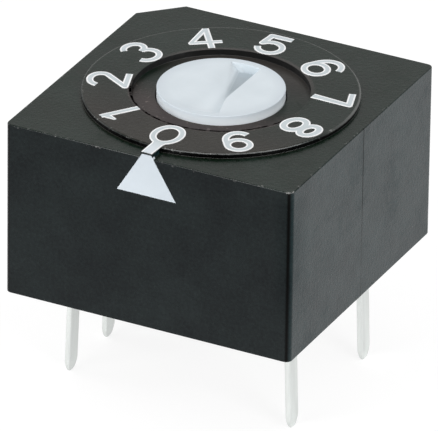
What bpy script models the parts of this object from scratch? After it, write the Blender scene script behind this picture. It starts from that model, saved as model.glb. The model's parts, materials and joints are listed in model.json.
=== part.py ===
"""Rotary coding switch for a printed circuit board, with ten positions.

Metres, +Z up. The origin is the centre of the seating plane, where the flat
underside meets the board. The front face, with the index mark, looks to -Y.
The rotor turns about +Z through the origin.
"""

from math import atan2, ceil, cos, pi, radians, sin, sqrt, tau

import bmesh
import bpy
from mathutils import Matrix, Vector

MM = 0.001

# Terminals, on the board's grid, and the base's margin outside their rows
row_pitch = 7.62 * MM
row_margin = 0.46 * MM
pin_pitch = 2.54 * MM
pin_length = 3.70 * MM
pin_sheet = 0.20 * MM
pin_width = 0.55 * MM
pin_tip_width = 0.16 * MM
pin_tip_length = 0.38 * MM
pin_splay = 0.13 * MM
shoulder_width = 0.90 * MM
shoulder_seat = 0.20 * MM
pad_length = 1.00 * MM
bend_radius = 0.30 * MM

# Case, as wide as the base and its walls
body_height = 5.93 * MM
wall = 0.70 * MM
ledge = 0.20 * MM
roof = 1.15 * MM
corner_cut = 1.20 * MM
edge_radius = 0.20 * MM
top_edge = 0.02 * MM

# Digit ring round the rotor, and the well inside it
ring_margin = 0.60 * MM
ring_height = 0.16 * MM
ring_edge = 0.04 * MM
well_radius = 2.82 * MM
well_depth = 0.21 * MM

# Index mark on the front face, a little left of the middle, and the bridge of case
# plastic behind its tip
mark_width = 2.06 * MM
mark_tip_width = 0.32 * MM
mark_drop = 1.32 * MM
mark_offset = -0.04 * MM
mark_margin = 0.05 * MM
mark_depth = 0.15 * MM
bridge_side = 0.05 * MM

# Rotor
head_radius = 2.03 * MM
head_stand = 0.09 * MM
head_edge = 0.05 * MM
groove_depth = 0.21 * MM
flange_thickness = 1.00 * MM
hub_radius = 0.90 * MM

# Arrow-shaped driver slot in the rotor's head
slot_depth = 0.31 * MM
slot_width = 1.04 * MM
slot_waist_width = 0.96 * MM
slot_flare_width = 1.50 * MM
slot_waist_y = -0.63 * MM
slot_margin = 0.24 * MM

# Seal
seal_wire = 0.50 * MM

# Click mechanism, between the rotor's flange and the side walls
positions = 10
click_room = 0.50 * MM
notch_depth = 0.13 * MM
notch_radius = 0.42 * MM
click_sheet = 0.10 * MM
click_height = 0.70 * MM
click_end = 0.12 * MM
click_wrap = radians(70)
post_width = 0.40 * MM
post_thickness = 0.30 * MM

# Code plate under the rotor's flange, with a ring-shaped track for each output
plate_thickness = 0.10 * MM
plate_margin = 0.18 * MM
track_margin = 0.13 * MM
track_gap = 0.13 * MM
rivet_radius = 0.12 * MM
rivet_margin = 0.20 * MM
rivet_stand = 0.06 * MM
rivet_start = radians(30)
rivet_count = 3

# Pivot
pivot_radius = 0.50 * MM
pivot_floor = 0.80 * MM
pivot_grip = 0.52 * MM
pivot_edge = 0.10 * MM
pivot_top_gap = 0.15 * MM

# Resin that seals the terminals into the base
trough_depth = 0.50 * MM
trough_side = 0.14 * MM
trough_end = 0.20 * MM
resin_recess = 0.05 * MM

# Contact springs, with twin tips, in the room between the base and the plate
contact_room = 1.37 * MM
spring_sheet = 0.08 * MM
spring_root_width = 0.50 * MM
spring_tip_width = 0.22 * MM
spring_foot = 0.45 * MM
spring_nose = 0.14 * MM
spring_nose_drop = 0.07 * MM
spring_slit_width = 0.06 * MM
spring_slit_length = 0.90 * MM

# Clearances
base_gap = 0.03 * MM
bore_gap = 0.04 * MM
seal_gap = 0.02 * MM
thrust_gap = 0.02 * MM
seat_gap = 0.01 * MM
slot_gap = 0.02 * MM
mark_gap = 0.01 * MM
click_gap = 0.02 * MM
pivot_gap = 0.03 * MM
contact_gap = 0.02 * MM

# Code: for each output, counting its track from the hub, the direction of its contact
# point from the axis, the terminal's row (-1 left, 1 right) and its place in the row
tracks = {
    "common": (0, radians(180), -1, 0),
    "1": (1, radians(225), -1, -1),
    "2": (2, radians(-55), 1, -1),
    "4": (3, radians(58), 1, 1),
    "8": (4, radians(119), -1, 1),
}

# Levels, radii and distances that follow from the sizes above
row = row_pitch / 2
base_edge = row + row_margin
half = base_edge + base_gap + wall
body_width = 2 * half
inner_wall = half - wall - ledge
ring_radius = half - ring_margin
ring_top = body_height + ring_height
well_floor = ring_top - well_depth
ceiling = body_height - roof
head_top = ring_top + head_stand
bridge_width = mark_tip_width + 2 * bridge_side
slot_reach = head_radius - slot_margin
bore_radius = head_radius + bore_gap
neck_radius = head_radius - groove_depth
gland_radius = neck_radius + seal_wire + 2 * seal_gap
gland_top = ceiling + seal_wire + 2 * seal_gap
flange_radius = inner_wall - click_room
flange_top = ceiling - thrust_gap
flange_bottom = flange_top - flange_thickness
plate_top = flange_bottom - seat_gap
plate_bottom = plate_top - plate_thickness
plate_radius = flange_radius - plate_margin
rivet_circle = plate_radius - rivet_margin
tracks_start = hub_radius + track_margin
track_pitch = (rivet_circle - rivet_radius - tracks_start) / len(tracks)
track_width = track_pitch - track_gap
notch_centre = flange_radius - notch_depth + notch_radius
click_level = (flange_top + flange_bottom) / 2
pitch = tau / positions
base_thickness = plate_bottom - contact_room
hub_bottom = base_thickness + bore_gap
pivot_top = flange_bottom + pivot_grip
shoulder_level = trough_depth + shoulder_seat
pad_bottom = base_thickness + seat_gap
pad_top = pad_bottom + pin_sheet

# How far a cutter runs past what it cuts, and a joined lump into its piece
outside = 1.0 * MM
lap = 0.25 * MM

# Steps round a full circle, from large to small, and along a bend
steps_large = 96
steps_medium = 64
steps_small = 24
steps_wire = 12
steps_bend = 10
steps_corner = 4

# Ways a flat outline can stand: u and v in the drawing become these axes
PLAN = Matrix.Identity(4)
FRONT_VIEW = Matrix(((1, 0, 0, 0), (0, 0, -1, 0), (0, 1, 0, 0), (0, 0, 0, 1)))
SIDE_VIEW = Matrix(((0, 0, 1, 0), (1, 0, 0, 0), (0, 1, 0, 0), (0, 0, 0, 1)))

for old in list(bpy.data.objects):
    bpy.data.objects.remove(old, do_unlink=True)

switch = bpy.data.collections.new("coding_switch")
cutters = bpy.data.collections.new("cutters")
for collection in (switch, cutters):
    bpy.context.scene.collection.children.link(collection)


def material(name, colour, roughness, metallic):
    """A Principled material."""
    made = bpy.data.materials.new(name)
    made.use_nodes = True
    shader = made.node_tree.nodes["Principled BSDF"]
    shader.inputs["Base Color"].default_value = (*colour, 1.0)
    shader.inputs["Roughness"].default_value = roughness
    shader.inputs["Metallic"].default_value = metallic
    return made


def add_part(mesh, colour, roughness, metallic=0.0):
    """Puts a mesh in the scene as one piece of the switch."""
    piece = bpy.data.objects.new(mesh.name, mesh)
    switch.objects.link(piece)
    mesh.materials.append(material(mesh.name, colour, roughness, metallic))
    mesh.shade_smooth()
    mesh.set_sharp_from_angle(angle=radians(35))
    return piece


def add_tool(mesh):
    """Puts a mesh in the scene as a cutter, or as a lump to be joined on."""
    tool = bpy.data.objects.new(mesh.name, mesh)
    cutters.objects.link(tool)
    tool.hide_render = True
    tool.display_type = "WIRE"
    return tool


def combine(piece, tool, operation):
    """Adds a Boolean of the tool to the piece."""
    boolean = piece.modifiers.new(tool.name, "BOOLEAN")
    boolean.operation = operation
    boolean.solver = "EXACT"
    boolean.object = tool


def cut(piece, tool):
    combine(piece, tool, "DIFFERENCE")


def join(piece, tool):
    combine(piece, tool, "UNION")


def mesh_from(name, shape):
    """Turns a bmesh into a mesh, with its faces pointing out."""
    bmesh.ops.recalc_face_normals(shape, faces=shape.faces)
    mesh = bpy.data.meshes.new(name)
    shape.to_mesh(mesh)
    shape.free()
    return mesh


def side_name(side):
    return "left" if side < 0 else "right"


def box(name, low, high):
    """A block between two corners."""
    low, high = Vector(low), Vector(high)
    shape = bmesh.new()
    bmesh.ops.create_cube(shape, size=1.0)
    bmesh.ops.scale(shape, vec=high - low, verts=shape.verts)
    bmesh.ops.translate(shape, vec=(high + low) / 2, verts=shape.verts)
    return mesh_from(name, shape)


def disc(name, radius, low, high, steps, top_bevel=0.0, centre=(0.0, 0.0)):
    """An upright round post, with an optional bevel on its top edge."""
    shape = bmesh.new()
    bmesh.ops.create_cone(
        shape, cap_ends=True, segments=steps, radius1=radius, radius2=radius, depth=high - low
    )
    bmesh.ops.translate(shape, vec=(*centre, (high + low) / 2), verts=shape.verts)
    if top_bevel:
        bevel_top(shape, top_bevel)
    return mesh_from(name, shape)


def bevel_top(shape, width):
    """Bevels the edges that lie in a shape's top face."""
    top = max(shape.faces, key=lambda face: face.calc_center_median().z)
    bmesh.ops.bevel(
        shape, geom=list(top.edges), offset=width, segments=1, profile=0.5, affect="EDGES"
    )


def cornered_block(name, inset, low, high):
    """A block with the case's outline, moved in by inset, its rear left corner cut off."""
    shape = cornered_shape(inset, low, high, 0.0)
    return mesh_from(name, shape)


def cornered_shape(inset, low, high, radius):
    """The bmesh of such a block. Its other upright edges are rounded by the radius."""
    side = body_width - 2 * inset
    shape = bmesh.new()
    bmesh.ops.create_cube(shape, size=1.0)
    upright = [e for e in shape.edges if e.verts[0].co.z * e.verts[1].co.z < 0]
    rear_left = [e for e in upright if e.verts[0].co.x < 0 < e.verts[0].co.y]
    others = [e for e in upright if e not in rear_left]
    bmesh.ops.scale(shape, vec=(side, side, high - low), verts=shape.verts)
    bmesh.ops.translate(shape, vec=(0, 0, (high + low) / 2), verts=shape.verts)
    bmesh.ops.bevel(shape, geom=rear_left, offset=corner_leg(inset), segments=1, affect="EDGES")
    if radius:
        bmesh.ops.bevel(
            shape, geom=others, offset=radius, segments=steps_corner, profile=0.5, affect="EDGES"
        )
    return shape


def corner_leg(inset):
    """How far the corner cut runs along a side of the case's outline, moved in by inset."""
    return corner_cut - inset * (2 - sqrt(2))


def turned(name, profile):
    """A mesh of joined edges for a Screw modifier. It runs from top to bottom."""
    shape = bmesh.new()
    points = [shape.verts.new((radius, 0, level)) for radius, level in profile]
    for upper, lower in zip(points, points[1:]):
        shape.edges.new((upper, lower))
    mesh = bpy.data.meshes.new(name)
    shape.to_mesh(mesh)
    shape.free()
    return mesh


def spin(piece):
    """Turns a profile all the way round +Z."""
    screw = piece.modifiers.new("turn", "SCREW")
    screw.steps = steps_large
    screw.render_steps = steps_large
    screw.use_merge_vertices = True
    screw.merge_threshold = 1e-6
    screw.use_smooth_shade = True


def prism(name, outline, low, high, view=PLAN):
    """A flat outline with thickness. It is drawn in millimetres, then brought to metres."""
    drawing = bpy.data.curves.new(name, "CURVE")
    drawing.dimensions = "2D"
    drawing.fill_mode = "BOTH"
    drawing.extrude = (high - low) / 2 / MM
    line = drawing.splines.new("POLY")
    line.points.add(len(outline) - 1)
    for point, (u, v) in zip(line.points, outline):
        point.co = (u / MM, v / MM, 0, 1)
    line.use_cyclic_u = True
    holder = bpy.data.objects.new(name, drawing)
    bpy.context.scene.collection.objects.link(holder)
    graph = bpy.context.evaluated_depsgraph_get()
    mesh = bpy.data.meshes.new_from_object(holder.evaluated_get(graph))
    bpy.data.objects.remove(holder)
    shape = bmesh.new()
    shape.from_mesh(mesh)
    bpy.data.meshes.remove(mesh)
    bmesh.ops.remove_doubles(shape, verts=shape.verts, dist=1e-4)
    bmesh.ops.scale(shape, vec=(MM, MM, MM), verts=shape.verts)
    bmesh.ops.translate(shape, vec=(0, 0, (high + low) / 2), verts=shape.verts)
    bmesh.ops.transform(shape, matrix=view, verts=shape.verts)
    return mesh_from(name, shape)


def arc(radius, start, end, steps, centre=(0.0, 0.0)):
    """Points along an arc of a circle."""
    turn = (end - start) / steps
    return [
        (centre[0] + radius * cos(start + i * turn), centre[1] + radius * sin(start + i * turn))
        for i in range(steps + 1)
    ]


def sheet_part(name, stations, thickness, colour, roughness):
    """A bent strip of sheet metal, lofted through lines across it and thickened evenly."""
    shape = bmesh.new()
    lines = [[shape.verts.new(end) for end in station] for station in stations]
    for near, far in zip(lines, lines[1:]):
        shape.faces.new((near[0], near[1], far[1], far[0]))
    piece = add_part(mesh_from(name, shape), colour, roughness, 1.0)
    solid = piece.modifiers.new("sheet", "SOLIDIFY")
    solid.thickness = thickness
    solid.offset = 0.0
    solid.use_even_offset = True
    return piece


def housing():
    """The case: a five-sided shell with the digit ring, the well and the rotor's bore."""
    shape = cornered_shape(0.0, 0.0, body_height, edge_radius)
    bevel_top(shape, top_edge)
    case = add_part(mesh_from("housing", shape), (0.035, 0.038, 0.038), 0.62)

    low = body_height - lap
    join(case, add_tool(disc("digit_ring", ring_radius, low, ring_top, steps_large, ring_edge)))
    left, right = mark_offset - bridge_width / 2, mark_offset + bridge_width / 2
    join(case, add_tool(box("bridge", (left, -half, low), (right, lap - ring_radius, ring_top))))

    above = ring_top + outside
    below = ceiling - outside
    bore = add_tool(turned("rotor_bore", [
        (0, above), (well_radius, above), (well_radius, well_floor),
        (bore_radius, well_floor), (bore_radius, gland_top),
        (gland_radius, gland_top), (gland_radius, below), (0, below),
    ]))
    spin(bore)
    cut(case, bore)

    shelf = base_thickness + thrust_gap
    cut(case, add_tool(cornered_block("base_room", wall, -outside, shelf)))
    cut(case, add_tool(cornered_block("rotor_room", wall + ledge, -outside / 2, ceiling)))
    for side in (-1, 1):
        for end in (-1, 1):
            join(case, click_post(side, end))

    pocket = prism(
        "mark_pocket", mark_outline(mark_gap), half - mark_depth - mark_gap, half + outside,
        FRONT_VIEW,
    )
    cut(case, add_tool(pocket))


def click_reach():
    """How far the click springs run to the front and rear of the middle."""
    return inner_wall - corner_leg(wall + ledge) - click_end


def click_post(side, end):
    """A post under the roof that holds one end of a click spring against the side wall."""
    name = "click_post_%s_%s" % (side_name(side), "front" if end < 0 else "rear")
    face = inner_wall - 2 * click_gap - click_sheet
    x = sorted((side * (face - post_thickness), side * face))
    y = sorted((end * (click_reach() - post_width), end * click_reach()))
    foot = click_level - click_height / 2 - click_gap
    return add_tool(box(name, (x[0], y[0], foot), (x[1], y[1], ceiling + lap)))


def mark_outline(gap):
    """The index mark, seen from the front: a triangle with a blunt tip."""
    tip = ring_top - mark_margin + gap
    foot = body_height - mark_drop - gap
    tip_half = mark_tip_width / 2 + gap
    foot_half = mark_width / 2 + gap
    return [
        (mark_offset - foot_half, foot), (mark_offset + foot_half, foot),
        (mark_offset + tip_half, tip), (mark_offset - tip_half, tip),
    ]


def index_mark():
    """The white triangle, set flush into the front face."""
    mesh = prism("index_mark", mark_outline(0.0), half - mark_depth, half, FRONT_VIEW)
    add_part(mesh, (0.82, 0.85, 0.87), 0.45)


def rotor():
    """The white rotor: head with driver slot, seal groove, notched flange and hub."""
    shaft_hole = pivot_radius + pivot_gap
    hole_end = pivot_top + pivot_top_gap
    profile = [
        (0, head_top), (head_radius - head_edge, head_top), (head_radius, head_top - head_edge),
        (head_radius, gland_top), (neck_radius, gland_top), (neck_radius, flange_top),
        (flange_radius, flange_top), (flange_radius, flange_bottom),
        (hub_radius, flange_bottom), (hub_radius, hub_bottom),
        (shaft_hole, hub_bottom), (shaft_hole, hole_end), (0, hole_end),
    ]
    piece = add_part(turned("rotor", profile), (0.80, 0.83, 0.85), 0.40)
    spin(piece)
    cut(piece, click_notches())
    slot = prism("driver_slot", slot_outline(), head_top - slot_depth, head_top + outside)
    cut(piece, add_tool(slot))
    for i in range(rivet_count):
        name = "rivet_%d" % (i + 1)
        low, high = plate_bottom - rivet_stand, flange_bottom + lap
        stud = disc(name, rivet_radius, low, high, steps_small, centre=rivet_centre(i))
        join(piece, add_tool(stud))
    return piece


def click_notches():
    """One round notch for each position, all round the flange's rim."""
    shape = bmesh.new()
    for i in range(positions):
        turn = Matrix.Rotation(i * pitch, 4, "Z")
        bmesh.ops.create_cone(
            shape, cap_ends=True, segments=steps_small, radius1=notch_radius,
            radius2=notch_radius, depth=flange_thickness + outside,
            matrix=turn @ Matrix.Translation((notch_centre, 0, click_level)),
        )
    return add_tool(mesh_from("click_notches", shape))


def slot_outline():
    """The driver slot in plan: a straight shaft that flares towards the front."""
    shaft, waist, flare = slot_width / 2, slot_waist_width / 2, slot_flare_width / 2
    rear = atan2(sqrt(slot_reach**2 - shaft**2), shaft)
    front = atan2(-sqrt(slot_reach**2 - flare**2), flare)
    points = arc(slot_reach, rear, pi - rear, steps_bend)
    points.append((-waist, slot_waist_y))
    points += arc(slot_reach, -pi - front, front, steps_bend)
    points.append((waist, slot_waist_y))
    return points


def rivet_centre(i):
    """Where a rivet that holds the code plate to the flange stands in plan."""
    angle = rivet_start + i * tau / rivet_count
    return (rivet_circle * cos(angle), rivet_circle * sin(angle))


def o_ring():
    """The rubber ring between the rotor's neck and the case."""
    bpy.ops.mesh.primitive_torus_add(
        major_radius=neck_radius + seal_gap + seal_wire / 2,
        minor_radius=seal_wire / 2,
        major_segments=steps_medium,
        minor_segments=steps_wire,
    )
    made = bpy.context.object
    mesh = made.data
    bpy.data.objects.remove(made)
    mesh.name = "o_ring"
    piece = add_part(mesh, (0.02, 0.02, 0.02), 0.80)
    piece.location.z = ceiling + seal_gap + seal_wire / 2
    return piece


def track_radius(output):
    return tracks_start + (tracks[output][0] + 0.5) * track_pitch


def open_runs(value):
    """The runs of positions in which an output is off, each as its first and last position."""
    off = [not (position & value) for position in range(positions)]
    runs = []
    for first in range(positions):
        if off[first] and not off[first - 1]:
            last = first
            while off[(last + 1) % positions]:
                last += 1
            runs.append((first, last))
    return runs


def code_plate():
    """The contact plate that turns with the rotor, with a window where an output is off."""
    mesh = disc("code_plate", plate_radius, plate_bottom, plate_top, steps_medium)
    piece = add_part(mesh, (0.75, 0.58, 0.25), 0.28, 1.0)
    low, high = plate_bottom - lap, plate_top + lap
    cut(piece, add_tool(disc("plate_hub_hole", hub_radius + seat_gap, low, high, steps_medium)))
    for i in range(rivet_count):
        name = "plate_rivet_hole_%d" % (i + 1)
        hole = disc(name, rivet_radius + seat_gap, low, high, steps_small, centre=rivet_centre(i))
        cut(piece, add_tool(hole))
    for output, (_, angle, _, _) in tracks.items():
        if output == "common":
            continue
        radius = track_radius(output)
        for first, last in open_runs(int(output)):
            start = angle + (first - 0.5) * pitch
            end = angle + (last + 0.5) * pitch
            steps = ceil((end - start) / tau * steps_medium)
            outline = arc(radius - track_width / 2, start, end, steps)
            outline += arc(radius + track_width / 2, end, start, steps)
            cut(piece, add_tool(prism("window_%s_%d" % (output, first), outline, low, high)))
    return piece


def click_spring(side):
    """A leaf spring beside the rotor, whose bump drops into a notch in the flange."""
    bend = notch_radius - click_gap - click_sheet / 2
    end_x = inner_wall - click_gap - click_sheet / 2
    end_y = click_reach()
    path = [(end_x, end_y), (end_x, end_y - post_width)]
    path += arc(bend, pi - click_wrap, pi + click_wrap, steps_bend, (notch_centre, 0))
    path += [(end_x, post_width - end_y), (end_x, -end_y)]
    low = click_level - click_height / 2
    high = click_level + click_height / 2
    stations = [((side * x, y, low), (side * x, y, high)) for x, y in path]
    name = "click_spring_" + side_name(side)
    sheet_part(name, stations, click_sheet, (0.62, 0.62, 0.60), 0.25)


def put_at_terminal(thing, output):
    """Moves a thing to its output's pin. On the left it is also turned half round."""
    _, _, side, place = tracks[output]
    thing.location = (side * row, place * pin_pitch, 0.0)
    thing.rotation_euler.z = 0.0 if side > 0 else pi


def terminal_profile():
    """A terminal from the front: a pad on the base, a bend, and a pin that leans out a little."""
    t = pin_sheet / 2
    bend = arc(bend_radius, pi / 2, 0.0, steps_bend // 2, (t - bend_radius, pad_top - bend_radius))
    tip = -pin_length
    shank = tip + pin_tip_length
    lean = pin_splay * (pin_length - pin_tip_length) / pin_length
    return [(t - pad_length, pad_top)] + bend + [
        (t, 0.0), (t + lean, shank), (t / 2 + pin_splay, tip),
        (pin_splay - t / 2, tip), (lean - t, shank), (-t, 0.0),
        (-t, pad_bottom), (t - pad_length, pad_bottom),
    ]


def terminal_widths():
    """A terminal from the side: wide above its shoulder, narrowing in a curve to the tip.

    It runs on past the pad and the tip, where the front outline ends the terminal.
    """
    shank = pin_tip_length - pin_length
    narrowing = (pin_width - pin_tip_width) / 2
    right = [
        (shoulder_width / 2, pad_top + outside), (shoulder_width / 2, shoulder_level),
        (pin_width / 2, shoulder_level), (pin_width / 2, shank),
    ]
    steps = steps_bend // 2
    for i in range(1, steps):
        angle = i * pi / 2 / steps
        right.append((
            pin_tip_width / 2 + narrowing * cos(angle), shank - pin_tip_length * sin(angle)
        ))
    right.append((pin_tip_width / 2, -pin_length))
    right.append((pin_tip_width / 2, -pin_length - outside))
    return right + [(-u, v) for u, v in reversed(right)]


def terminal(output):
    """A stamped terminal: the common part of its front and side outlines."""
    name = "terminal_" + output
    front = prism(name, terminal_profile(), -shoulder_width, shoulder_width, FRONT_VIEW)
    side = prism(name + "_widths", terminal_widths(), -pad_length - outside, outside, SIDE_VIEW)
    piece, widths = add_part(front, (0.80, 0.80, 0.77), 0.30, 1.0), add_tool(side)
    combine(piece, widths, "INTERSECT")
    put_at_terminal(piece, output)
    put_at_terminal(widths, output)


def contact_spring(output):
    """A contact finger: a foot on its terminal's pad, then a rise to its track."""
    name = "contact_spring_" + output
    _, angle, side, place = tracks[output]
    start = Vector((side * (row + pin_sheet / 2 - pad_length / 2), place * pin_pitch, 0))
    touch = track_radius(output) * Vector((cos(angle), sin(angle), 0))
    along = (touch - start).normalized()
    across = Vector((-along.y, along.x, 0))
    length = (touch - start).length
    low = pad_top + seat_gap + spring_sheet / 2
    high = plate_bottom - contact_gap - spring_sheet / 2
    foot = spring_foot / 2
    path = [(-foot, low), (foot, low)]
    for i in range(1, steps_bend + 1):
        share = i / steps_bend
        rise = (high - low) * (1 - cos(pi * share)) / 2
        path.append((foot + share * (length - foot), low + rise))
    path.append((length + spring_nose, high - spring_nose_drop))
    stations = []
    for reach, level in path:
        share = (reach + foot) / (length + spring_nose + foot)
        width = spring_root_width + share * (spring_tip_width - spring_root_width)
        middle = start + along * reach + Vector((0, 0, level))
        stations.append((middle - across * width / 2, middle + across * width / 2))
    piece = sheet_part(name, stations, spring_sheet, (0.78, 0.60, 0.28), 0.25)
    end = length + spring_nose + spring_slit_width
    slit = add_tool(box(
        name + "_slit", (end - spring_slit_length, -spring_slit_width / 2, base_thickness),
        (end, spring_slit_width / 2, plate_top),
    ))
    slit.location = start
    slit.rotation_euler.z = atan2(along.y, along.x)
    cut(piece, slit)


def terminal_slot(name, width, low, high):
    """The room for part of a terminal, with clearance all round it."""
    t = pin_sheet / 2 + slot_gap
    w = width / 2 + slot_gap
    return add_tool(box(name, (-t, -w, low), (t, w, high)))


def base():
    """The base that closes the case, with slots for the terminals and a seat for the pivot."""
    mesh = cornered_block("base", wall + base_gap, 0.0, base_thickness)
    piece = add_part(mesh, (0.03, 0.03, 0.032), 0.60)
    for side in (-1, 1):
        cut(piece, add_tool(trough("trough_" + side_name(side), side, 0.0, -outside, trough_depth)))
    above = base_thickness + outside
    for output in tracks:
        pin_slot = terminal_slot("pin_slot_" + output, pin_width, -outside, above)
        shoulder_slot = terminal_slot(
            "shoulder_slot_" + output, shoulder_width, shoulder_level - slot_gap, above
        )
        for slot in (pin_slot, shoulder_slot):
            put_at_terminal(slot, output)
            cut(piece, slot)
    seat = pivot_floor - seat_gap
    cut(piece, add_tool(disc("pivot_seat", pivot_radius + seat_gap, seat, above, steps_medium)))


def trough(name, side, gap, low, high):
    """The room for the resin along one row of terminals, or the resin itself with a gap."""
    u = row_margin - trough_side - gap
    v = base_edge - corner_leg(half - base_edge) - trough_end - gap
    return box(name, (side * row - u, -v, low), (side * row + u, v, high))


def sealing_resin(side):
    """The resin round one row of terminals."""
    name = "sealing_resin_" + side_name(side)
    mesh = trough(name, side, slot_gap, resin_recess, trough_depth - slot_gap)
    piece = add_part(mesh, (0.05, 0.045, 0.04), 0.35)
    for output, (_, _, its_side, _) in tracks.items():
        if its_side == side:
            slot = terminal_slot("resin_slot_" + output, pin_width, -outside, outside)
            put_at_terminal(slot, output)
            cut(piece, slot)


def pivot_pin():
    """The steel pin on which the rotor's hub turns."""
    mesh = disc("pivot_pin", pivot_radius, pivot_floor, pivot_top, steps_medium, pivot_edge)
    add_part(mesh, (0.70, 0.70, 0.72), 0.20, 1.0)


def main():
    housing()
    index_mark()
    base()
    pivot_pin()
    for side in (-1, 1):
        click_spring(side)
        sealing_resin(side)
    for output in tracks:
        terminal(output)
        contact_spring(output)

    axis = bpy.data.objects.new("rotor_axis", None)
    switch.objects.link(axis)
    for piece in (rotor(), o_ring(), code_plate()):
        piece.parent = axis


main()
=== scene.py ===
"""Finish, light and camera for a rotary coding switch.

Metres, +Z up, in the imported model's frame: the seating plane is z = 0, the front
face looks to -Y, and the rotor turns about +Z through the origin.
"""

import json
from math import cos, pi, radians, sin, tau

import bmesh
import bpy
from mathutils import Matrix, Vector

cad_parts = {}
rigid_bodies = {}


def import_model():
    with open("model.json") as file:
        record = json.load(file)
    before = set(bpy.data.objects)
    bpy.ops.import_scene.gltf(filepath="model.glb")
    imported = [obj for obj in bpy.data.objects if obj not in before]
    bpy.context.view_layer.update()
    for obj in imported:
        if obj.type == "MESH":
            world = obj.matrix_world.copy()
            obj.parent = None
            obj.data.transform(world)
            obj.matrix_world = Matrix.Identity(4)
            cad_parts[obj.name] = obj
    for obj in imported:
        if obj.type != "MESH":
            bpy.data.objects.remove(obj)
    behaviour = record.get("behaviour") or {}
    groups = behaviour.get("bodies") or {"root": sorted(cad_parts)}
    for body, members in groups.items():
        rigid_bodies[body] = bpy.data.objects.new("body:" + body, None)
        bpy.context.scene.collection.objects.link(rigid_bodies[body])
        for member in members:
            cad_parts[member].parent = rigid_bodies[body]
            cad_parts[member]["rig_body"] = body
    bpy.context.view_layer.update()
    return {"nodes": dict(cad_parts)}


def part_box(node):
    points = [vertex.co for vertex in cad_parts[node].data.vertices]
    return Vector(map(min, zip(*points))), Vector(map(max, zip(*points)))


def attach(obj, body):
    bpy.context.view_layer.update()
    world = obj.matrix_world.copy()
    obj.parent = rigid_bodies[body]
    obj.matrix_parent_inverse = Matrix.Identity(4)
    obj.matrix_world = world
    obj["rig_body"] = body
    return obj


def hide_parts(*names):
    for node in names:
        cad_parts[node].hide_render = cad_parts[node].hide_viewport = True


MM = 0.001

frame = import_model()

# Sizes that the pieces here share with the model
case_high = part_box("housing")[1]
half = case_high.x
ring_top = case_high.z
ring_height = 0.16 * MM
body_top = ring_top - ring_height
ring_radius = 4.40 * MM
well_radius = 2.82 * MM
slot_reach = 1.79 * MM
head_radius = 2.03 * MM
head_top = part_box("rotor")[1].z
floor_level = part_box("terminal_2")[0].z

# Reshaping of the rotor's copy: the head's edge as it is in the solid and as it is drawn here
head_edge_solid = 0.05 * MM
head_edge_drawn = 0.012 * MM
head_rim = slot_reach + 0.1 * MM
same_level = 0.001 * MM
slack = 0.01 * MM

# Foot of the driver slot's left wall: X at its rear end and at its front, and the slant between.
# The cuts are the Y at which one stretch of the foot ends and the next begins.
ramp_foot_rear = -0.25 * MM
ramp_foot_front = 0.36 * MM
ramp_rear_end = 1.70 * MM
ramp_slant = 0.345
slot_cuts = (-2.0 * MM, -1.0 * MM, 0.0, 2.0 * MM)

# Softening of edges
sharp_angle = radians(40)
flat_angle = radians(0.5)
weld_distance = 0.0005 * MM
case_edge = 0.012 * MM
rotor_edge = 0.004 * MM
mark_edge = 0.01 * MM
base_edge = 0.015 * MM
resin_edge = 0.02 * MM
pin_edge = 0.04 * MM

# Colours of the case in linear light. A pair is the darkest and the lightest of its clouds. The front,
# right and top faces get different blacks as painted shade and painted light, the front darkest and the
# right lightest.
front_shaded_black = (0, 0.002, 0.003), (0.007, 0.012, 0.0125)
right_lit_black = (0.001, 0.010, 0.013), (0.008, 0.026, 0.029)
top_lit_black = (0, 0.005, 0.001), (0.005, 0.014, 0.009)
handled_black = (0.009, 0.007, 0.004), (0.021, 0.019, 0.014)
well_brown = (0.042, 0.031, 0.029)
# Painted light: the rear of the well floor is painted lighter than the black round it.
well_rear_light = (0.040, 0.036, 0.033)
# Painted shade: the well's walls are painted darker.
well_wall_shade = (0.010, 0.010, 0.010)
dust_speck = (0.16, 0.13, 0.12)
# Bare plastic at nicks of wear, and a painted highlight along the ring's rear edge.
bare_plastic_and_glint = (0.30, 0.30, 0.29)
# black: painted shade on the ring's outer wall, the front corners and the well's rim, and the colour of
# the mould line.
black = (0.0, 0.0, 0.0)

# Colours of the rotor: painted shade near the head's rim and at its edge, painted light down its side
# and at the slot's front end, and painted shade on the slot's rear wall and floor
rotor_whites = (0.68, 0.745, 0.79), (0.72, 0.785, 0.83)
rotor_near_rim_shade = (0.60, 0.66, 0.71)
rotor_side_light = (0.88, 0.935, 0.97)
rotor_edge_shade = (0.64, 0.70, 0.75)
# Painted light at the slot's deep front end, and painted shade on its rear wall and floor.
slot_front_light = (0.81, 0.87, 0.91)
slot_end_shade = (0.59, 0.65, 0.69)
slot_floor_shade = (0.48, 0.54, 0.58)

# Colours of the print, the mark and the inner pieces
ink_white = (0.59, 0.65, 0.675)
ink_outer_white = (0.70, 0.755, 0.80)
# A painted highlight along the edges of the digits' strokes.
ink_highlight_white = (0.95, 0.96, 0.97)
mark_white = (0.665, 0.73, 0.785)
tin_grey = (0.755, 0.782, 0.765)
gold = (0.85, 0.66, 0.30)
steel_grey = (0.62, 0.62, 0.61)
base_black = (0.02, 0.02, 0.021)
rubber_black = (0.012, 0.012, 0.012)
resin_brown = (0.03, 0.026, 0.022)

# How strongly surfaces mirror, and how rough the white ones are
front_gloss = 0.20
right_gloss = 0.26
top_gloss_loss = 0.02
white_gloss = 0.3
rotor_rim_gloss = 0.05
dark_gloss = 0.35
plain_gloss = 0.5
white_roughness = 0.50

# Camera, as fitted to the edges of the case in the photograph
photo_width = 438
camera_azimuth = radians(26.709)
camera_elevation = radians(27.698)
camera_roll = radians(0.782)
camera_distance = 293.975 * MM
camera_shift_right = 0.0060 * MM
camera_shift_up = 1.4411 * MM
camera_focal_pixels = 9284.9
sensor_width = 36.0

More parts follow.
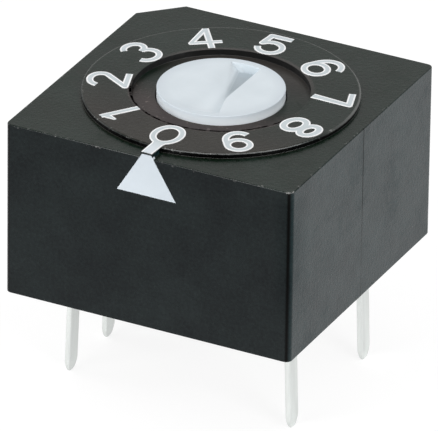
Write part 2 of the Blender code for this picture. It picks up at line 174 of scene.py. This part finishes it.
# Light: how bright the surroundings are, and what the lamps face and how far off they stand
surroundings_seen = 1.0
surroundings_lighting = 0.62
ground_colour = (0.25, 0.25, 0.25, 1.0)
ground_glow = 0.82
ground_half_width = 1.5
ground_gap = 0.01 * MM
lamp_target = Vector((0, 0, 3 * MM))
lamp_distance = 0.25

# Digits, as strokes in millimetres: u to the reader's right, v away from the axis
digit_count = 10
digit_radius = 3.57 * MM
digit_stand = 0.012 * MM
stroke_width = 0.225
ink_rim_width = 0.05
ink_step = 0.001 * MM
same_point = 1e-6


def stroke_arc(centre_u, centre_v, radius_u, radius_v, start, end, steps=20):
    """Points along part of an ellipse, with its angles in degrees."""
    turn = radians(end - start) / steps
    return [
        (
            centre_u + radius_u * cos(radians(start) + i * turn),
            centre_v + radius_v * sin(radians(start) + i * turn),
        )
        for i in range(steps + 1)
    ]


def loop(centre_u, centre_v, radius_u, radius_v):
    return stroke_arc(centre_u, centre_v, radius_u, radius_v, 0, 360, 48)


def digit_strokes(digit):
    """The strokes of a digit, each as (points, width). A point may carry its own width."""
    w = stroke_width
    return {
        0: [(loop(0.04, 0.0, 0.425, 0.56), w),
            ([(0.03, 0.50, 0.50), (0.032, 0.60, 0.46), (0.035, 0.72, 0.39), (0.055, 1.39, 0.37)], w)],
        1: [([(-0.02, 0.65), (-0.02, -0.67)], w),
            ([(-0.43, 0.335, 0.03), (-0.40, 0.34, 0.09), (-0.22, 0.41, 0.20), (-0.04, 0.49, 0.27)], w)],
        2: [(stroke_arc(0.03, 0.27, 0.40, 0.34, 168, -30) + [(-0.36, -0.57)], w),
            ([(-0.36, -0.57)], w),
            ([(-0.36, -0.57), (0.53, -0.57)], w)],
        3: [(stroke_arc(0.0, 0.34, 0.36, 0.29, 162, -80), w),
            (stroke_arc(0.0, -0.26, 0.40, 0.36, 80, -165), w)],
        4: [([(0.16, 0.70), (0.16, -0.67)], w),
            ([(0.15, 0.67), (-0.44, -0.265)], 0.19),
            ([(-0.44, -0.265)], 0.19),
            ([(-0.44, -0.265), (0.56, -0.265)], 0.19)],
        5: [([(-0.27, 0.535), (0.45, 0.53)], 0.24),
            ([(-0.27, 0.535)], 0.24),
            ([(-0.27, 0.535), (-0.33, -0.04)], w),
            ([(-0.33, -0.04)], w),
            ([(-0.33, -0.04)] + stroke_arc(0.03, -0.24, 0.40, 0.38, 130, -168), w)],
        6: [(stroke_arc(0.10, 0.02, 0.46, 0.57, 32, 180) + [(-0.36, -0.24)], w),
            (loop(0.03, -0.24, 0.39, 0.36), w)],
        7: [([(-0.41, 0.54), (0.38, 0.54)], w),
            ([(0.38, 0.54)], w),
            ([(0.38, 0.54, w), (-0.085, -0.68, 0.29)], w)],
        8: [(loop(0.03, 0.34, 0.35, 0.25), 0.26), (loop(0.045, -0.27, 0.40, 0.31), 0.26)],
        9: [(loop(0.05, 0.26, 0.35, 0.34), w),
            ([(0.40, 0.26)] + stroke_arc(0.0, -0.08, 0.40, 0.465, 0, -140), 0.235)],
    }[digit]


def new_material(name, roughness, gloss, metallic=0.0):
    """A material with its uniform values set on the shader, and its node tree."""
    made = bpy.data.materials.new(name)
    made.use_nodes = True
    shader = made.node_tree.nodes["Principled BSDF"]
    shader.inputs["Roughness"].default_value = roughness
    shader.inputs["Metallic"].default_value = metallic
    shader.inputs["Specular IOR Level"].default_value = gloss
    return made, Nodes(made.node_tree, shader)


class Nodes:
    """Short ways to add shader nodes. Coordinates are a piece's own, in millimetres."""

    def __init__(self, tree, shader):
        self.tree, self.shader = tree, shader
        coordinates = tree.nodes.new("ShaderNodeTexCoord")
        self.place = self.vector_math("SCALE", coordinates.outputs["Object"], scale=1 / MM)
        self.normal = coordinates.outputs["Normal"]

    def link(self, source, target):
        self.tree.links.new(source, target)

    def put(self, socket, value):
        if isinstance(value, bpy.types.NodeSocket):
            self.link(value, socket)
        else:
            socket.default_value = value

    def vector_math(self, operation, first, second=None, scale=None):
        node = self.tree.nodes.new("ShaderNodeVectorMath")
        node.operation = operation
        self.put(node.inputs[0], first)
        if second is not None:
            self.put(node.inputs[1], second)
        if scale is not None:
            self.put(node.inputs["Scale"], scale)
        return node.outputs["Value" if operation == "LENGTH" else "Vector"]

    def math(self, operation, first, second=0.0):
        node = self.tree.nodes.new("ShaderNodeMath")
        node.operation = operation
        self.put(node.inputs[0], first)
        self.put(node.inputs[1], second)
        return node.outputs[0]

    def product(self, *values):
        total = values[0]
        for value in values[1:]:
            total = self.math("MULTIPLY", total, value)
        return total

    def largest(self, *values):
        total = values[0]
        for value in values[1:]:
            total = self.math("MAXIMUM", total, value)
        return total

    def unsigned(self, value):
        return self.math("ABSOLUTE", value)

    def distance(self, first, second):
        return self.unsigned(self.math("SUBTRACT", first, second))

    def split(self, vector):
        node = self.tree.nodes.new("ShaderNodeSeparateXYZ")
        self.link(vector, node.inputs[0])
        return node.outputs

    def reach(self):
        """How far a point lies from the rotor's axis."""
        level_place = self.vector_math("MULTIPLY", self.place, (1.0, 1.0, 0.0))
        return self.vector_math("LENGTH", level_place)

    def noise(self, scale, detail=2.0, roughness=0.5, place=None):
        node = self.tree.nodes.new("ShaderNodeTexNoise")
        self.link(place or self.place, node.inputs["Vector"])
        node.inputs["Scale"].default_value = scale
        node.inputs["Detail"].default_value = detail
        node.inputs["Roughness"].default_value = roughness
        return node.outputs["Fac"]

    def ramp(self, value, low, high, start=0.0, end=1.0):
        """A value between low and high, brought to between start and end."""
        node = self.tree.nodes.new("ShaderNodeMapRange")
        node.clamp = True
        self.put(node.inputs["Value"], value)
        node.inputs["From Min"].default_value = low
        node.inputs["From Max"].default_value = high
        node.inputs["To Min"].default_value = start
        node.inputs["To Max"].default_value = end
        return node.outputs["Result"]

    def between(self, share, start, end):
        """A value from start, where share is 0, to end, where share is 1."""
        return self.ramp(share, 0.0, 1.0, start, end)

    def lowered(self, value, share, least):
        """A value times 1 where share is 0, down to least where share is 1."""
        return self.math("MULTIPLY", value, self.between(share, 1.0, least))

    def mix(self, share, first, second):
        node = self.tree.nodes.new("ShaderNodeMix")
        node.data_type = "RGBA"
        self.put(node.inputs["Factor"], share)
        for name, colour in (("A", first), ("B", second)):
            socket = next(s for s in node.inputs if s.name == name and s.type == "RGBA")
            self.put(socket, (*colour, 1.0) if isinstance(colour, tuple) else colour)
        return next(s for s in node.outputs if s.type == "RGBA")

    def bump(self, height, distance, strength):
        """Adds a bump whose height is in millimetres times distance."""
        node = self.tree.nodes.new("ShaderNodeBump")
        node.inputs["Strength"].default_value = strength
        node.inputs["Distance"].default_value = distance * MM
        self.link(height, node.inputs["Height"])
        self.link(node.outputs["Normal"], self.shader.inputs["Normal"])

    def colour(self, value):
        self.put(self.shader.inputs["Base Color"], value)

    def gloss(self, value):
        self.put(self.shader.inputs["Specular IOR Level"], value)

    def roughness(self, value):
        self.put(self.shader.inputs["Roughness"], value)


class CaseAreas:
    """Shares from 0 to 1 that tell which area of the case a point is in."""

    def __init__(self, nodes):
        x, y, z = nodes.split(nodes.place)
        facing_x, _, facing_z = nodes.split(nodes.normal)
        reach = nodes.reach()
        self.height = z
        self.top = nodes.ramp(facing_z, 0.5, 0.9)
        self.right = nodes.ramp(facing_x, 0.5, 0.95)
        self.wear_and_glint = wear_and_rear_glint(nodes, x, y, z, reach)
        self.mould_line_and_rim_shade = nodes.largest(moulding_line(nodes, x, y, z), rim_shade_line(nodes, y, reach))
        self.find_dial(nodes, y, z, reach)
        self.find_walls(nodes, z, reach, facing_z)
        self.find_corner(nodes, y, reach, facing_x, facing_z)
        self.find_side_of_corner(nodes, x, y, z)

    def find_dial(self, nodes, y, z, reach):
        """The digits' ring where fingers touch it, and the well round the rotor."""
        ring = ring_radius / MM
        well = well_radius / MM
        top = body_top / MM
        dial = nodes.ramp(reach, ring + 0.10, ring - 0.05)
        self.handled = nodes.product(dial, self.top, nodes.ramp(y, -0.8, -3.0))
        inside = nodes.ramp(reach, well + 0.16, well + 0.06)
        self.well = nodes.product(inside, nodes.ramp(z, top - 0.53, top - 0.23))
        self.well_front = nodes.product(self.well, nodes.ramp(y, 0.0, -1.5))
        # The rear of the well floor, which case_colour paints lighter as painted light.
        self.well_rear = nodes.product(self.well, self.top, nodes.ramp(y, 0.5, 2.0))

    def find_walls(self, nodes, z, reach, facing_z):
        """The upright walls of the well and of the ring's outer edge."""
        top = body_top / MM
        steep = nodes.product(nodes.ramp(facing_z, 0.6, 0.4), nodes.ramp(z, top - 0.53, top - 0.33))
        by_ring = nodes.ramp(nodes.distance(reach, ring_radius / MM), 0.2, 0.1)
        # case_colour paints the well's walls darker as painted shade.
        self.well_wall = nodes.product(steep, self.well)
        # case_colour paints the ring's outer wall black as painted shade.
        self.ring_wall = nodes.product(steep, by_ring)

    def find_corner(self, nodes, y, reach, facing_x, facing_z):
        """The rounded upright corners at the front."""
        sideways = nodes.unsigned(facing_x)
        turned = nodes.product(nodes.ramp(sideways, 0.10, 0.35), nodes.ramp(sideways, 0.80, 0.55))
        upright = nodes.ramp(nodes.unsigned(facing_z), 0.4, 0.2)
        outside = nodes.ramp(reach, half / MM, half / MM + 0.2)
        # case_colour paints these corners black as painted shade.
        self.corner = nodes.product(turned, upright, outside, nodes.ramp(y, 0.0, -1.0))

    def find_side_of_corner(self, nodes, x, y, z):
        """The right-hand face next to the front corner, apart from its foot and its upper edge."""
        edge = half / MM
        top = body_top / MM
        at_right = nodes.ramp(x, edge - 0.7, edge - 0.1)
        beside = nodes.product(at_right, nodes.ramp(y, 1.4 - edge, 0.5 - edge))
        height = nodes.product(nodes.ramp(z, 0.8, 2.8), nodes.ramp(z, top + 0.07, top - 0.53))
        self.by_corner = nodes.product(beside, height)


def rim_shade_line(nodes, y, reach):
    """A broken line of painted shade where the well's front edge meets the dial."""
    from_rim = nodes.distance(reach, well_radius / MM + 0.02)
    broken = nodes.ramp(nodes.noise(2.6, 4.0, 0.7), 0.42, 0.52, 0.45, 1.0)
    return nodes.product(nodes.ramp(from_rim, 0.08, 0.05), nodes.ramp(y, -0.3, -0.9), broken)


def moulding_line(nodes, x, y, z):
    """A thin line down the middle of the right-hand face, where the mould parts."""
    edge = half / MM
    side = nodes.ramp(x, edge - 0.05, edge - 0.01)
    width = nodes.ramp(nodes.unsigned(y), 0.034, 0.016)
    return nodes.product(side, width, nodes.ramp(z, 1.5, 4.0, 0.35, 0.85))


def wear_and_rear_glint(nodes, x, y, z, reach):
    """Bright nicks of wear along the case's upper edges and the ring's, and a painted highlight line
    along the ring's rear edge.
    """
    edge = half / MM
    side = nodes.largest(nodes.unsigned(x), nodes.unsigned(y))
    below_top = nodes.distance(z, body_top / MM)
    from_edge = nodes.math("ADD", nodes.math("SUBTRACT", edge, side), below_top)
    from_rim = nodes.distance(reach, ring_radius / MM)
    from_ring = nodes.math("ADD", from_rim, nodes.distance(z, ring_top / MM))
    near = nodes.ramp(nodes.math("MINIMUM", from_edge, from_ring), 0.10, 0.02)
    at_right = nodes.ramp(x, edge - 0.35, edge - 0.15)
    front_right = nodes.product(at_right, nodes.ramp(y, 0.35 - edge, 0.15 - edge))
    rough = nodes.math("ADD", nodes.noise(4.2, 5.0, 0.75), nodes.product(front_right, 0.08))
    nicks = nodes.product(near, nodes.ramp(rough, 0.59, 0.66))
    # A painted highlight: the glint along the ring's rear edge, drawn as a light line.
    rear_glint = nodes.product(nodes.ramp(from_ring, 0.08, 0.04), nodes.ramp(y, -1.5, 0.5, 0.0, 0.5))
    return nodes.product(nodes.largest(nicks, rear_glint), 0.8)


def case_colour(nodes, at):
    """Cloudy black, lighter on the right and top faces as painted light, with dust in the well, painted
    light on the well floor's rear, painted shade on the walls, front corners and well rim, a black
    mould line, and bare plastic at nicks with a painted highlight along the ring's rear.
    """
    cloud = nodes.math("ADD", nodes.noise(0.7, 4.0, 0.6), nodes.noise(9.0, 4.0, 0.7))
    mottle = nodes.ramp(cloud, 0.75, 1.25)
    colour = nodes.mix(mottle, *front_shaded_black)
    # Painted light: the right and top faces get lighter blacks than the front.
    for share, shades in ((at.right, right_lit_black), (at.top, top_lit_black), (at.handled, handled_black)):
        colour = nodes.mix(share, colour, nodes.mix(mottle, *shades))
    dust = nodes.product(at.well_front, nodes.ramp(nodes.noise(5.5, 4.0, 0.7), 0.60, 0.66))
    # dark: painted shade on the ring's wall, the front corners and the well's rim, and the real mould
    # line.
    dark = nodes.largest(at.mould_line_and_rim_shade, at.ring_wall, at.corner)
    for share, shade in (
        (at.well_front, well_brown),
        (dust, dust_speck),
        (at.well_wall, well_wall_shade),
        (at.well_rear, well_rear_light),
        (dark, black),
        (at.wear_and_glint, bare_plastic_and_glint),
    ):
        colour = nodes.mix(share, colour, shade)
    return colour


def case_gloss(nodes, at):
    """Stronger on the right, where it is blotchy, and dull at the front corners, on the mould line and
    on the painted shade line at the well's rim.
    """
    unchanged = (1.0, 1.0, 1.0)
    by_height = nodes.ramp(at.height, 0.0, 6.0, 1.08, 0.86)
    gloss = nodes.between(at.right, front_gloss, right_gloss)
    gloss = nodes.product(gloss, nodes.mix(at.right, by_height, unchanged))
    gloss = nodes.math("SUBTRACT", gloss, nodes.product(at.top, top_gloss_loss))
    gloss = nodes.lowered(gloss, nodes.largest(at.corner, at.ring_wall), 0.50)
    gloss = nodes.lowered(gloss, at.well_wall, 0.7)
    blotches = nodes.ramp(nodes.noise(1.3, 5.0, 0.65), 0.38, 0.62, 0.86, 1.08)
    gloss = nodes.product(gloss, nodes.mix(at.right, unchanged, blotches))
    gloss = nodes.lowered(gloss, at.by_corner, 0.60)
    return nodes.lowered(gloss, at.mould_line_and_rim_shade, 0.0)


def case_finish():
    """Black moulded plastic, glossy at a slant, with a fine grain, smudges and wear on its edges, and
    painted light and shade in its colour.
    """
    made, nodes = new_material("case_finish", 0.30, plain_gloss)
    at = CaseAreas(nodes)
    nodes.colour(case_colour(nodes, at))
    nodes.gloss(case_gloss(nodes, at))
    grain = nodes.noise(9.0, 3.0, 0.6)
    smudge = nodes.ramp(nodes.noise(1.1, 5.0, 0.7), 0.52, 0.62, 0.0, 0.25)
    coarse = nodes.math("ADD", nodes.math("ADD", grain, nodes.product(at.well, 0.3)), smudge)
    nodes.roughness(nodes.ramp(coarse, 0.3, 1.2, 0.16, 0.50))
    nodes.bump(grain, 0.010, 0.8)
    return made


def white_finish(name, colour, outer=None):
    """Milky white plastic or print, faintly uneven.

    A digit's ink can turn to another colour where its strokes run far out from the axis.
    """
    made, nodes = new_material(name, white_roughness, white_gloss)
    shade = nodes.ramp(nodes.noise(0.8, 3.0), 0.35, 0.65)
    deeper = tuple(c * 0.95 for c in colour)
    mixed = nodes.mix(shade, deeper, colour)
    if outer:
        outward = nodes.split(nodes.place)[1]
        mixed = nodes.mix(nodes.ramp(outward, 0.5, 1.0), mixed, outer)
    nodes.colour(mixed)
    nodes.bump(nodes.noise(9.0, 3.0), 0.004, 0.6)
    return made


def slot_shades(nodes, y, reach, depth):
    """Painted light at the driver slot's deep front end and painted shade on its rear wall and rear
    floor, as shares and their colours.
    """
    _, facing_y, facing_z = nodes.split(nodes.normal)
    slot = slot_reach / MM
    inside = nodes.ramp(reach, slot + 0.07, slot + 0.05)
    front = nodes.product(nodes.ramp(depth, 0.08, 0.31), nodes.ramp(y, 0.3, -0.5), inside)
    end_wall = nodes.product(inside, nodes.ramp(facing_y, -0.3, -0.8))
    level = nodes.product(nodes.ramp(facing_z, 0.9, 0.99), nodes.ramp(depth, 0.20, 0.28))
    rear_floor = nodes.product(level, inside, nodes.ramp(y, -0.3, 0.5))
    return [(front, slot_front_light), (end_wall, slot_end_shade), (rear_floor, slot_floor_shade)]


def rotor_finish():
    """Milky white plastic, with painted light down the head's side and at the slot's front end, and
    painted shade near and at the head's rim and at the slot's rear.
    """
    made, nodes = new_material("rotor_finish", white_roughness, white_gloss)
    _, y, z = nodes.split(nodes.place)
    reach = nodes.reach()
    edge = head_radius / MM
    depth = nodes.math("SUBTRACT", head_top / MM, z)
    # Painted shade near the head's rim and on its edge.
    near_rim = nodes.ramp(reach, edge - 0.43, edge - 0.03, 0.0, 0.7)
    # Painted light down the head's side, which the dark well shades.
    side = nodes.product(nodes.ramp(reach, edge - 0.03, edge - 0.01), nodes.ramp(depth, 0.03, 0.3))
    rim = nodes.product(nodes.ramp(reach, edge - 0.06, edge - 0.03), nodes.ramp(depth, 0.10, 0.04))
    shades = [(near_rim, rotor_near_rim_shade), (side, rotor_side_light), (rim, rotor_edge_shade)]
    colour = nodes.mix(nodes.ramp(nodes.noise(0.8, 3.0), 0.35, 0.65), *rotor_whites)
    for share, shade in shades + slot_shades(nodes, y, reach, depth):
        colour = nodes.mix(share, colour, shade)
    nodes.colour(colour)
    nodes.gloss(nodes.between(rim, white_gloss, rotor_rim_gloss))
    nodes.bump(nodes.noise(9.0, 3.0), 0.004, 0.6)
    return made


def metal_finish(name, colour, roughness, grain_scale, metallic=1.0):
    """Rolled sheet metal with a dull, slightly streaked plating."""
    made, nodes = new_material(name, roughness, plain_gloss, metallic)
    stretched = nodes.vector_math("MULTIPLY", nodes.place, (1.0, 1.0, 0.15))
    streaks = nodes.noise(grain_scale, 3.0, 0.6, stretched)
    deeper = tuple(c * 0.90 for c in colour)
    nodes.colour(nodes.mix(nodes.ramp(streaks, 0.3, 0.7), deeper, colour))
    nodes.roughness(nodes.ramp(streaks, 0.3, 0.7, roughness * 0.85, roughness * 1.25))
    nodes.bump(streaks, 0.003, 0.5)
    return made


def dark_finish(name, colour, roughness, scale):
    """Dark plastic, rubber or resin with a cloudy surface."""
    made, nodes = new_material(name, roughness, dark_gloss)
    cloud = nodes.noise(scale, 3.0)
    lighter = tuple(c * 1.5 for c in colour)
    nodes.colour(nodes.mix(nodes.ramp(cloud, 0.35, 0.7), colour, lighter))
    nodes.bump(cloud, 0.006, 0.6)
    return made


def mesh_object(name, shape):
    """Turns a bmesh into an object in the scene."""
    bmesh.ops.recalc_face_normals(shape, faces=shape.faces)
    mesh = bpy.data.meshes.new(name)
    shape.to_mesh(mesh)
    shape.free()
    made = bpy.data.objects.new(name, mesh)
    bpy.context.scene.collection.objects.link(made)
    return made


def soften_slot(shape):
    """Brings the foot of the driver slot's left wall inwards, so that the wall is a soft ramp."""
    head = [v for v in shape.verts if v.co.xy.length < slot_reach + slack]
    top = max(v.co.z for v in head)
    floor = max(v.co.z for v in head if v.co.z < top - head_edge_solid)
    foot = [v for v in head if abs(v.co.z - floor) < same_level]
    for low, high in zip(slot_cuts, slot_cuts[1:]):
        group = [v for v in foot if low < v.co.y <= high]
        right = max(v.co.x for v in group)
        for v in group:
            # the ramp runs out towards the front, where the slot narrows to a crease
            slanted = ramp_foot_rear + ramp_slant * (ramp_rear_end - v.co.y)
            ramp_foot = min(slanted, ramp_foot_front)
            share = (v.co.x + right) / (2 * right)
            v.co.x = ramp_foot + share * (right - ramp_foot)


def sharpen_head(shape):
    """Draws the bevel round the rotor's head in to a fine edge."""
    top = max(v.co.z for v in shape.verts)
    for v in shape.verts:
        if v.co.xy.length <= head_rim:
            continue
        below = top - v.co.z
        if below < same_level:
            v.co.xy *= (head_radius - head_edge_drawn) / v.co.xy.length
        elif below < head_edge_solid + slack:
            v.co.z = top - head_edge_drawn


def reshape_rotor(shape):
    soften_slot(shape)
    sharpen_head(shape)


def soften_edges(piece, width, segments):
    """Rounds the sharp edges of a piece by a small bevel."""
    bevel = piece.modifiers.new("edge", "BEVEL")
    bevel.width = width
    bevel.segments = segments
    bevel.limit_method = "ANGLE"
    bevel.angle_limit = sharp_angle
    bevel.use_clamp_overlap = True
    bevel.harden_normals = True


def finished(node, finish, edge=0.0, segments=2, reshape=None):
    """A copy of a CAD node with welded, smoothly shaded faces and softened edges."""
    shape = bmesh.new()
    shape.from_mesh(frame["nodes"][node].data)
    bmesh.ops.remove_doubles(shape, verts=shape.verts, dist=weld_distance)
    if reshape:
        reshape(shape)
    bmesh.ops.dissolve_limit(
        shape, angle_limit=flat_angle, verts=shape.verts, edges=shape.edges
    )
    piece = mesh_object(node + "_finished", shape)
    piece.data.materials.clear()
    piece.data.materials.append(finish)
    piece.data.shade_smooth()
    piece.data.set_sharp_from_angle(angle=sharp_angle)
    if edge:
        soften_edges(piece, edge, segments)
    weigh = piece.modifiers.new("normals", "WEIGHTED_NORMAL")
    weigh.keep_sharp = True
    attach(piece, frame["nodes"][node]["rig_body"])
    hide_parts(node)


def ribbon(points, width, low, high):
    """A flat stroke along points, as a closed solid between two levels."""
    points = [(Vector(p[:2]), p[2] if len(p) > 2 else width) for p in points]
    closed = (points[0][0] - points[-1][0]).length < same_point
    if closed:
        points.pop()
    count = len(points)
    shape = bmesh.new()
    rows = []
    for i, (point, wide) in enumerate(points):
        before = points[i - 1][0] if i or closed else point
        after = points[(i + 1) % count][0] if i < count - 1 or closed else point
        along = (after - before).normalized()
        across = Vector((-along.y, along.x)) * wide / 2
        rows.append([
            shape.verts.new((*(side * MM), level))
            for side in (point + across, point - across) for level in (low, high)
        ])
    pairs = list(zip(rows, rows[1:])) + ([(rows[-1], rows[0])] if closed else [])
    for a, b in pairs:
        for i, j in ((0, 1), (1, 3), (3, 2), (2, 0)):
            shape.faces.new((a[i], a[j], b[j], b[i]))
    if not closed:
        for end in (rows[0], rows[-1]):
            shape.faces.new((end[0], end[1], end[3], end[2]))
    return shape


def dot(point, width, low, high):
    """A round dab where two strokes meet at a corner."""
    shape = bmesh.new()
    bmesh.ops.create_cone(
        shape, cap_ends=True, segments=32, radius1=width / 2 * MM, radius2=width / 2 * MM,
        depth=high - low,
        matrix=Matrix.Translation((point[0] * MM, point[1] * MM, (high + low) / 2)),
    )
    return shape


def joined(name, parts):
    """The union of overlapping solids, as one object. The parts are removed."""
    whole = parts[0]
    for other in parts[1:]:
        union = whole.modifiers.new("join", "BOOLEAN")
        union.operation = "UNION"
        union.solver = "EXACT"
        union.object = other
    graph = bpy.context.evaluated_depsgraph_get()
    mesh = bpy.data.meshes.new_from_object(whole.evaluated_get(graph))
    for part in parts:
        bpy.data.objects.remove(part)
    mesh.name = name
    piece = bpy.data.objects.new(name, mesh)
    bpy.context.scene.collection.objects.link(piece)
    return piece


def inked(name, number, finish, narrower, top):
    """The strokes of a digit as one thin solid on the ring, its top away from the axis."""
    parts = []
    for points, width in digit_strokes(number):
        points = [(*p[:2], p[2] - narrower) if len(p) > 2 else p for p in points]
        width -= narrower
        if len(points) == 1:
            shape = dot(points[0], width, -digit_stand, top)
        else:
            shape = ribbon(points, width, -digit_stand, top)
        parts.append(mesh_object("stroke", shape))
    piece = joined(name, parts)
    piece.data.materials.clear()
    piece.data.materials.append(finish)
    angle = -pi / 2 - number * tau / digit_count
    turn = Matrix.Rotation(angle - pi / 2, 4, "Z")
    piece.matrix_world = turn @ Matrix.Translation((0, digit_radius, ring_top))
    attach(piece, "case")


def digit(number, ink, rim):
    """A printed digit, with a painted highlight along the edges of its strokes: a brighter strip round
    a core that stands a hair higher.
    """
    inked("digit_%d_rim" % number, number, rim, 0.0, digit_stand)
    inked("digit_%d_ink" % number, number, ink, ink_rim_width * 2, digit_stand + ink_step)


def floor_finish():
    """White ground that keeps a faint shadow and can be seen through from below.

    It shows white to the camera and in reflections.
    """
    made = bpy.data.materials.new("ground")
    made.use_nodes = True
    tree = made.node_tree
    shader = tree.nodes["Principled BSDF"]
    shader.inputs["Base Color"].default_value = ground_colour
    shader.inputs["Roughness"].default_value = 1.0
    shader.inputs["Specular IOR Level"].default_value = 0.0
    glow = seen_rays(tree)
    share = tree.nodes.new("ShaderNodeMath")
    share.operation = "MULTIPLY"
    share.inputs[1].default_value = ground_glow
    tree.links.new(glow, share.inputs[0])
    shader.inputs["Emission Color"].default_value = (1, 1, 1, 1)
    tree.links.new(share.outputs[0], shader.inputs["Emission Strength"])
    one_sided = tree.nodes.new("ShaderNodeMixShader")
    side = tree.nodes.new("ShaderNodeNewGeometry")
    tree.links.new(side.outputs["Backfacing"], one_sided.inputs[0])
    tree.links.new(shader.outputs[0], one_sided.inputs[1])
    tree.links.new(tree.nodes.new("ShaderNodeBsdfTransparent").outputs[0], one_sided.inputs[2])
    tree.links.new(one_sided.outputs[0], tree.nodes["Material Output"].inputs["Surface"])
    return made


def seen_rays(tree):
    """1 for rays from the camera and for reflected and transmitted rays, otherwise 0."""
    path = tree.nodes.new("ShaderNodeLightPath")
    total = path.outputs["Is Camera Ray"]
    for name in ("Is Glossy Ray", "Is Transmission Ray"):
        node = tree.nodes.new("ShaderNodeMath")
        node.operation = "MAXIMUM"
        tree.links.new(total, node.inputs[0])
        tree.links.new(path.outputs[name], node.inputs[1])
        total = node.outputs[0]
    return total


def make_world():
    """Soft white surroundings."""
    world = bpy.data.worlds.new("studio")
    bpy.context.scene.world = world
    world.use_nodes = True
    tree = world.node_tree
    background = tree.nodes["Background"]
    background.inputs["Color"].default_value = (1, 1, 1, 1)
    strength = tree.nodes.new("ShaderNodeMapRange")
    strength.inputs["To Min"].default_value = surroundings_lighting
    strength.inputs["To Max"].default_value = surroundings_seen
    tree.links.new(seen_rays(tree), strength.inputs["Value"])
    tree.links.new(strength.outputs["Result"], background.inputs["Strength"])


def make_floor():
    """A wide white ground just under the pins' tips."""
    shape = bmesh.new()
    bmesh.ops.create_grid(shape, x_segments=1, y_segments=1, size=ground_half_width)
    floor = mesh_object("ground", shape)
    floor.location.z = floor_level - ground_gap
    floor.data.materials.append(floor_finish())


def lamp(name, azimuth, elevation, width, height, power):
    """A soft box that faces the switch. Azimuth 0 is in front, 90 on the right."""
    a, e = radians(azimuth), radians(elevation)
    back = Vector((sin(a) * cos(e), -cos(a) * cos(e), sin(e)))
    data = bpy.data.lights.new(name, "AREA")
    data.shape = "RECTANGLE"
    data.size = width
    data.size_y = height
    data.energy = power
    made = bpy.data.objects.new(name, data)
    bpy.context.scene.collection.objects.link(made)
    made.location = lamp_target + back * lamp_distance
    made.rotation_mode = "QUATERNION"
    made.rotation_quaternion = back.to_track_quat("Z", "Y")
    return made


def make_camera():
    """The photograph's view."""
    back = Vector((
        sin(camera_azimuth) * cos(camera_elevation),
        -cos(camera_azimuth) * cos(camera_elevation),
        sin(camera_elevation),
    ))
    level = Vector((cos(camera_azimuth), sin(camera_azimuth), 0))
    rise = back.cross(level)
    right = cos(camera_roll) * level + sin(camera_roll) * rise
    up = cos(camera_roll) * rise - sin(camera_roll) * level
    data = bpy.data.cameras.new("camera")
    data.sensor_width = sensor_width
    data.lens = camera_focal_pixels * sensor_width / photo_width
    data.clip_start = 0.01
    data.clip_end = 10.0
    camera = bpy.data.objects.new("camera", data)
    bpy.context.scene.collection.objects.link(camera)
    turn = Matrix((right, up, back)).transposed().to_4x4()
    place = right * camera_shift_right + up * camera_shift_up + back * camera_distance
    camera.matrix_world = Matrix.Translation(place) @ turn
    bpy.context.scene.camera = camera


def dress():
    """Gives every piece its finish."""
    case = case_finish()
    ink = white_finish("ink_finish", ink_white, ink_outer_white)
    ink_highlight = white_finish("ink_highlight_finish", ink_highlight_white)
    mark = white_finish("mark_finish", mark_white)
    tin = metal_finish("tin_finish", tin_grey, roughness=0.40, grain_scale=3.0, metallic=0.85)
    plating = metal_finish("gold_finish", gold, roughness=0.25, grain_scale=4.0)
    steel = metal_finish("steel_finish", steel_grey, roughness=0.25, grain_scale=5.0)
    finished("housing", case, case_edge)
    base = dark_finish("base_finish", base_black, roughness=0.6, scale=12.0)
    finished("base", base, base_edge)
    finished("rotor", rotor_finish(), rotor_edge, reshape=reshape_rotor)
    finished("index_mark", mark, mark_edge)
    for node in frame["nodes"]:
        if node.startswith("terminal_"):
            finished(node, tin, pin_edge, segments=3)
        elif node.startswith(("contact_spring_", "code_plate")):
            finished(node, plating)
        elif node.startswith("click_spring_"):
            finished(node, steel)
    finished("pivot_pin", steel)
    rubber = dark_finish("rubber_finish", rubber_black, roughness=0.7, scale=20.0)
    finished("o_ring", rubber)
    resin = dark_finish("resin_finish", resin_brown, roughness=0.25, scale=6.0)
    for side in ("left", "right"):
        finished("sealing_resin_" + side, resin, resin_edge)
    for number in range(digit_count):
        digit(number, ink, ink_highlight)


def light():
    """Three soft boxes, and a strip overhead that is seen only as a glint."""
    lamp("front", azimuth=-22, elevation=16, width=0.14, height=0.14, power=0.34)
    lamp("side", azimuth=62, elevation=26, width=0.10, height=0.10, power=0.20)
    lamp("left", azimuth=-80, elevation=18, width=0.14, height=0.14, power=0.14)
    strip = lamp("strip", azimuth=42, elevation=58, width=0.55, height=0.10, power=2.8)
    strip.visible_diffuse = False


def main():
    bpy.context.scene.view_settings.view_transform = "Standard"
    make_camera()
    make_world()
    make_floor()
    light()
    dress()


main()
